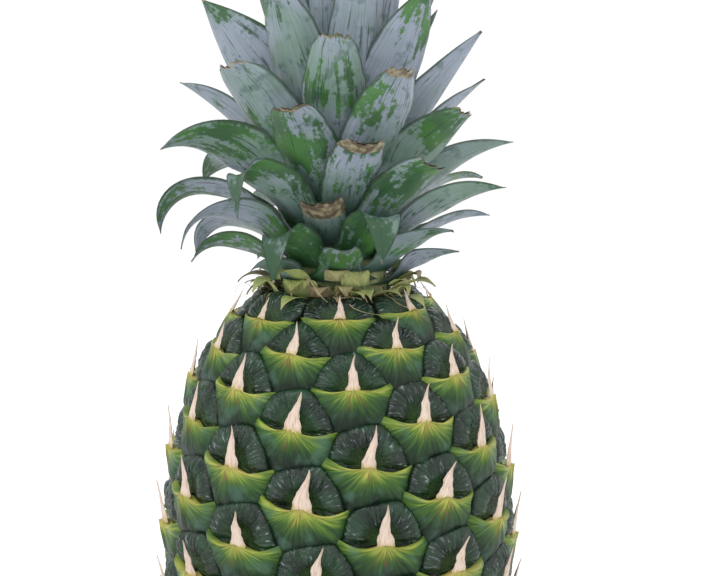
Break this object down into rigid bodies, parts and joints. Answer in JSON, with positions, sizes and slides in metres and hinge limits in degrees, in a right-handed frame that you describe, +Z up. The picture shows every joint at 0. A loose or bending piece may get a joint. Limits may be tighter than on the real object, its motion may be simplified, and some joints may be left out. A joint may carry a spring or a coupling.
{
  "type": "pineapple",
  "caption": "Whole ripe pineapple standing on its trimmed base, with spiny green eyes and a full crown of arching grey-green leaves.",
  "frame": {"origin": "middle of the trimmed base, on the surface that the pineapple stands on", "axes": "+Z up along the fruit's axis towards the crown; -Y is the front"},
  "size_m": [0.1329, 0.1353, 0.333],
  "materials": {
    "fruit_skin": "waxy dark green knobs over yellow-green bracts",
    "cut_stalk": "dry fibrous cut, matt",
    "crown_stem": "pale green, matt",
    "leaf": "grey-green leaf with a waxy bloom"
  },
  "bodies": {
    "root": {"fruit_body": "fruit_skin", "stalk_stub": "cut_stalk", "crown_stem": "crown_stem", "crown_leaf_01": "leaf", "crown_leaf_02": "leaf", "crown_leaf_03": "leaf", "crown_leaf_04": "leaf", "crown_leaf_05": "leaf", "crown_leaf_06": "leaf", "crown_leaf_07": "leaf", "crown_leaf_08": "leaf", "crown_leaf_09": "leaf", "crown_leaf_10": "leaf", "crown_leaf_11": "leaf", "crown_leaf_12": "leaf", "crown_leaf_13": "leaf", "crown_leaf_14": "leaf", "crown_leaf_15": "leaf", "crown_leaf_16": "leaf", "crown_leaf_17": "leaf", "crown_leaf_18": "leaf", "crown_leaf_19": "leaf", "crown_leaf_20": "leaf", "crown_leaf_21": "leaf", "crown_leaf_22": "leaf", "crown_leaf_23": "leaf", "crown_leaf_24": "leaf", "crown_leaf_25": "leaf", "crown_leaf_26": "leaf", "crown_leaf_27": "leaf", "crown_leaf_28": "leaf", "crown_leaf_29": "leaf", "crown_leaf_30": "leaf", "crown_leaf_31": "leaf", "crown_leaf_32": "leaf", "crown_leaf_33": "leaf", "crown_leaf_34": "leaf", "crown_leaf_35": "leaf", "crown_leaf_36": "leaf", "crown_leaf_37": "leaf", "crown_leaf_38": "leaf", "crown_leaf_39": "leaf", "crown_leaf_40": "leaf", "crown_leaf_41": "leaf", "crown_leaf_42": "leaf", "crown_leaf_43": "leaf", "crown_leaf_44": "leaf", "crown_leaf_45": "leaf", "crown_leaf_46": "leaf", "crown_leaf_47": "leaf", "crown_leaf_48": "leaf", "crown_leaf_49": "leaf", "crown_leaf_50": "leaf", "crown_leaf_51": "leaf", "crown_leaf_52": "leaf", "crown_leaf_53": "leaf", "crown_leaf_54": "leaf", "crown_leaf_55": "leaf", "crown_leaf_56": "leaf"}
  },
  "joints": []
}
